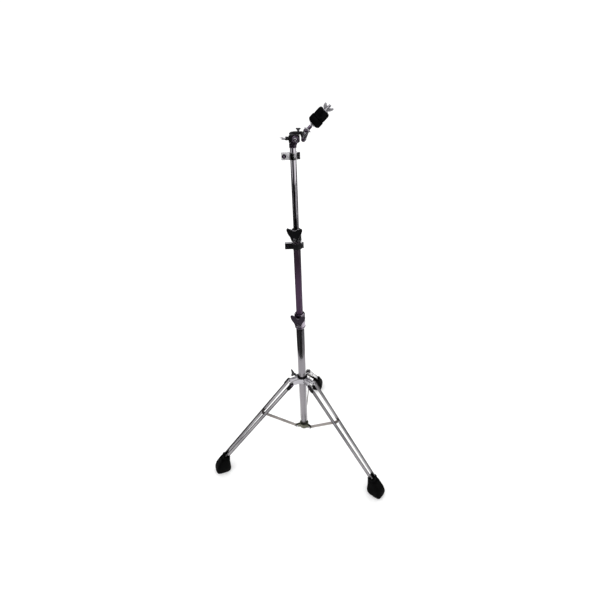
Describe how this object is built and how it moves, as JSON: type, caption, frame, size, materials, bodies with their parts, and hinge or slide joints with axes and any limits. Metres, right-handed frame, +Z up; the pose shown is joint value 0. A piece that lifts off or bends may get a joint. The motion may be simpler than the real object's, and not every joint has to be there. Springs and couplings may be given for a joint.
{
  "type": "cymbal stand",
  "caption": "Folding tripod stand with telescoping tubes, wing-bolt clamps, memory locks, a boom rod stowed in the column and a tilting cymbal seat with felts.",
  "frame": {"origin": "floor level, under the middle of the stand's footprint", "axes": "+Z up along the column; one leg points along +Y and the cymbal seat leans towards +X"},
  "size_m": [0.7478, 0.6516, 1.4597],
  "materials": {
    "base_tube_finish": "polished",
    "base_tube_cap_finish": "matte",
    "brace_collar_finish": "polished",
    "lower_clamp_finish": "polished",
    "collar_pin_right_finish": "polished",
    "collar_pin_rear_finish": "polished",
    "collar_pin_left_finish": "polished",
    "lower_wing_bolt_finish": "black gloss",
    "lower_clamp_bush_finish": "moulded",
    "middle_tube_finish": "polished, dark reflections",
    "upper_clamp_finish": "black gloss",
    "lower_lock_back_finish": "black gloss",
    "lower_lock_jaw_finish": "black gloss",
    "lower_lock_bolt_finish": "polished",
    "upper_wing_bolt_finish": "black gloss",
    "upper_clamp_bush_finish": "moulded",
    "upper_tube_finish": "polished, dark reflections",
    "upper_lock_back_finish": "polished",
    "boom_socket_finish": "polished, dark reflections",
    "boom_cradle_finish": "black gloss",
    "boom_pivot_bolt_finish": "polished",
    "upper_lock_jaw_finish": "polished",
    "upper_lock_bolt_finish": "polished",
    "boom_wing_bolt_finish": "polished",
    "boom_rod_finish": "polished",
    "boom_head_finish": "black gloss",
    "tilter_t_screw_finish": "black gloss",
    "tilter_arm_finish": "polished, dark reflections",
    "tilter_pivot_bolt_finish": "polished",
    "tilter_wing_bolt_finish": "polished, dark reflections",
    "cymbal_rod_base_finish": "polished, dark reflections",
    "cymbal_rod_finish": "polished",
    "cymbal_seat_finish": "polished",
    "cymbal_sleeve_finish": "moulded",
    "felt_lower_finish": "pressed felt",
    "felt_upper_finish": "pressed felt",
    "cymbal_wing_nut_finish": "polished",
    "leg_hub_finish": "polished",
    "hub_ring_finish": "moulded",
    "hub_wing_bolt_finish": "black gloss",
    "leg_right_rail_left_finish": "polished",
    "leg_right_rail_right_finish": "polished",
    "leg_right_cap_left_finish": "moulded",
    "leg_right_cap_right_finish": "moulded",
    "foot_right_finish": "matte",
    "brace_right_finish": "polished",
    "leg_rear_rail_left_finish": "polished",
    "leg_rear_rail_right_finish": "polished",
    "leg_rear_cap_left_finish": "moulded",
    "leg_rear_cap_right_finish": "moulded",
    "foot_rear_finish": "matte",
    "brace_rear_finish": "polished",
    "leg_left_rail_left_finish": "polished",
    "leg_left_rail_right_finish": "polished",
    "leg_left_cap_left_finish": "moulded",
    "leg_left_cap_right_finish": "moulded",
    "foot_left_finish": "matte",
    "brace_left_finish": "polished"
  },
  "bodies": {
    "base_column": {"base_tube": "base_tube_finish", "base_tube_cap": "base_tube_cap_finish", "brace_collar": "brace_collar_finish", "lower_clamp": "lower_clamp_finish", "collar_pin_right": "collar_pin_right_finish", "collar_pin_rear": "collar_pin_rear_finish", "collar_pin_left": "collar_pin_left_finish"},
    "lower_bolt": {"lower_wing_bolt": "lower_wing_bolt_finish"},
    "lower_bush": {"lower_clamp_bush": "lower_clamp_bush_finish"},
    "middle_column": {"middle_tube": "middle_tube_finish", "upper_clamp": "upper_clamp_finish", "lower_lock_back": "lower_lock_back_finish"},
    "lower_jaw": {"lower_lock_jaw": "lower_lock_jaw_finish", "lower_lock_bolt": "lower_lock_bolt_finish"},
    "upper_bolt": {"upper_wing_bolt": "upper_wing_bolt_finish"},
    "upper_bush": {"upper_clamp_bush": "upper_clamp_bush_finish"},
    "upper_column": {"upper_tube": "upper_tube_finish", "upper_lock_back": "upper_lock_back_finish", "boom_socket": "boom_socket_finish", "boom_cradle": "boom_cradle_finish", "boom_pivot_bolt": "boom_pivot_bolt_finish"},
    "upper_jaw": {"upper_lock_jaw": "upper_lock_jaw_finish", "upper_lock_bolt": "upper_lock_bolt_finish"},
    "boom_bolt": {"boom_wing_bolt": "boom_wing_bolt_finish"},
    "boom": {"boom_rod": "boom_rod_finish", "boom_head": "boom_head_finish"},
    "t_screw": {"tilter_t_screw": "tilter_t_screw_finish"},
    "arm": {"tilter_arm": "tilter_arm_finish", "tilter_pivot_bolt": "tilter_pivot_bolt_finish"},
    "tilter_bolt": {"tilter_wing_bolt": "tilter_wing_bolt_finish"},
    "seat_rod": {"cymbal_rod_base": "cymbal_rod_base_finish", "cymbal_rod": "cymbal_rod_finish", "cymbal_seat": "cymbal_seat_finish", "cymbal_sleeve": "cymbal_sleeve_finish", "felt_lower": "felt_lower_finish", "felt_upper": "felt_upper_finish"},
    "top_nut": {"cymbal_wing_nut": "cymbal_wing_nut_finish"},
    "hub": {"leg_hub": "leg_hub_finish", "hub_ring": "hub_ring_finish"},
    "hub_bolt": {"hub_wing_bolt": "hub_wing_bolt_finish"},
    "leg_right_body": {"leg_right_rail_left": "leg_right_rail_left_finish", "leg_right_rail_right": "leg_right_rail_right_finish", "leg_right_cap_left": "leg_right_cap_left_finish", "leg_right_cap_right": "leg_right_cap_right_finish", "foot_right": "foot_right_finish"},
    "brace_right_body": {"brace_right": "brace_right_finish"},
    "leg_rear_body": {"leg_rear_rail_left": "leg_rear_rail_left_finish", "leg_rear_rail_right": "leg_rear_rail_right_finish", "leg_rear_cap_left": "leg_rear_cap_left_finish", "leg_rear_cap_right": "leg_rear_cap_right_finish", "foot_rear": "foot_rear_finish"},
    "brace_rear_body": {"brace_rear": "brace_rear_finish"},
    "leg_left_body": {"leg_left_rail_left": "leg_left_rail_left_finish", "leg_left_rail_right": "leg_left_rail_right_finish", "leg_left_cap_left": "leg_left_cap_left_finish", "leg_left_cap_right": "leg_left_cap_right_finish", "foot_left": "foot_left_finish"},
    "brace_left_body": {"brace_left": "brace_left_finish"}
  },
  "joints": [
    {"name": "hub_slide", "type": "slide", "parent": "base_column", "child": "hub", "axis": [0, 0, 1], "range_m": [0, 0.112]},
    {"name": "hub_bolt_turn", "type": "hinge", "parent": "hub", "child": "hub_bolt", "pos_m": [-0.0433, -0.072, 0.411], "axis": [-0.866, 0.5, 0], "continuous": true},
    {"name": "leg_right_fold", "type": "hinge", "parent": "hub", "child": "leg_right_body", "pos_m": [0.04677, -0.124, 0.408], "axis": [0.5, 0.866, 0], "range_deg": [0, 41]},
    {"name": "brace_right_fold", "type": "hinge", "parent": "base_column", "child": "brace_right_body", "pos_m": [0.03118, -0.115, 0.142], "axis": [0.5, 0.866, 0], "range_deg": [-39, 0]},
    {"name": "leg_rear_fold", "type": "hinge", "parent": "hub", "child": "leg_rear_body", "pos_m": [0, -0.043, 0.408], "axis": [-1, 0, 0], "range_deg": [0, 41]},
    {"name": "brace_rear_fold", "type": "hinge", "parent": "base_column", "child": "brace_rear_body", "pos_m": [0, -0.061, 0.142], "axis": [-1, 0, 0], "range_deg": [-39, 0]},
    {"name": "leg_left_fold", "type": "hinge", "parent": "hub", "child": "leg_left_body", "pos_m": [-0.04677, -0.124, 0.408], "axis": [0.5, -0.866, 0], "range_deg": [0, 41]},
    {"name": "brace_left_fold", "type": "hinge", "parent": "base_column", "child": "brace_left_body", "pos_m": [-0.03118, -0.115, 0.142], "axis": [0.5, -0.866, 0], "range_deg": [-39, 0]},
    {"name": "lower_bolt_turn", "type": "hinge", "parent": "base_column", "child": "lower_bolt", "pos_m": [0, -0.132, 0.7095], "axis": [0, -1, 0], "continuous": true},
    {"name": "lower_swivel", "type": "hinge", "parent": "base_column", "child": "lower_bush", "pos_m": [0, -0.097, 0.7095], "axis": [0, 0, 1], "continuous": true},
    {"name": "middle_slide", "type": "slide", "parent": "lower_bush", "child": "middle_column", "axis": [0, 0, 1], "range_m": [-0.262, 0.23]},
    {"name": "lower_jaw_open", "type": "hinge", "parent": "middle_column", "child": "lower_jaw", "pos_m": [0.02034, -0.09267, 1.019], "axis": [0, 0, 1], "range_deg": [0, 10]},
    {"name": "upper_bolt_turn", "type": "hinge", "parent": "middle_column", "child": "upper_bolt", "pos_m": [0, -0.127, 1.052], "axis": [0, -1, 0], "continuous": true},
    {"name": "upper_swivel", "type": "hinge", "parent": "middle_column", "child": "upper_bush", "pos_m": [0, -0.097, 1.052], "axis": [0, 0, 1], "continuous": true},
    {"name": "upper_slide", "type": "slide", "parent": "upper_bush", "child": "upper_column", "axis": [0, 0, 1], "range_m": [-0.222, 0.3]},
    {"name": "upper_jaw_open", "type": "hinge", "parent": "upper_column", "child": "upper_jaw", "pos_m": [0.0178, -0.09322, 1.3125], "axis": [0, 0, 1], "range_deg": [0, 10]},
    {"name": "boom_bolt_turn", "type": "hinge", "parent": "upper_column", "child": "boom_bolt", "pos_m": [-0.02, -0.097, 1.362], "axis": [-1, 0, 0], "continuous": true},
    {"name": "boom_slide", "type": "slide", "parent": "upper_column", "child": "boom", "axis": [0, 0, 1], "range_m": [0, 0.4]},
    {"name": "t_screw_turn", "type": "hinge", "parent": "boom", "child": "t_screw", "pos_m": [0.0182, -0.097, 1.389], "axis": [0, 0, 1], "continuous": true},
    {"name": "arm_tilt", "type": "hinge", "parent": "boom", "child": "arm", "pos_m": [0.0339, -0.097, 1.3594], "axis": [0, 1, 0], "range_deg": [-8, 75]},
    {"name": "tilter_bolt_turn", "type": "hinge", "parent": "arm", "child": "tilter_bolt", "pos_m": [0.043, -0.097, 1.3833], "axis": [0, 1, 0], "continuous": true},
    {"name": "rod_tilt", "type": "hinge", "parent": "arm", "child": "seat_rod", "pos_m": [0.043, -0.097, 1.3833], "axis": [0, 1, 0], "range_deg": [-45, 45]},
    {"name": "top_nut_turn", "type": "hinge", "parent": "seat_rod", "child": "top_nut", "pos_m": [0.10103, -0.0928, 1.43837], "axis": [0.7254, 0, 0.6884], "continuous": true}
  ],
  "couplings": [
    {"joint": "leg_right_fold", "follows": "hub_slide", "rad_per_m": 6.233},
    {"joint": "brace_right_fold", "follows": "hub_slide", "rad_per_m": -5.958},
    {"joint": "leg_rear_fold", "follows": "hub_slide", "rad_per_m": 6.233},
    {"joint": "brace_rear_fold", "follows": "hub_slide", "rad_per_m": -5.958},
    {"joint": "leg_left_fold", "follows": "hub_slide", "rad_per_m": 6.233},
    {"joint": "brace_left_fold", "follows": "hub_slide", "rad_per_m": -5.958}
  ]
}
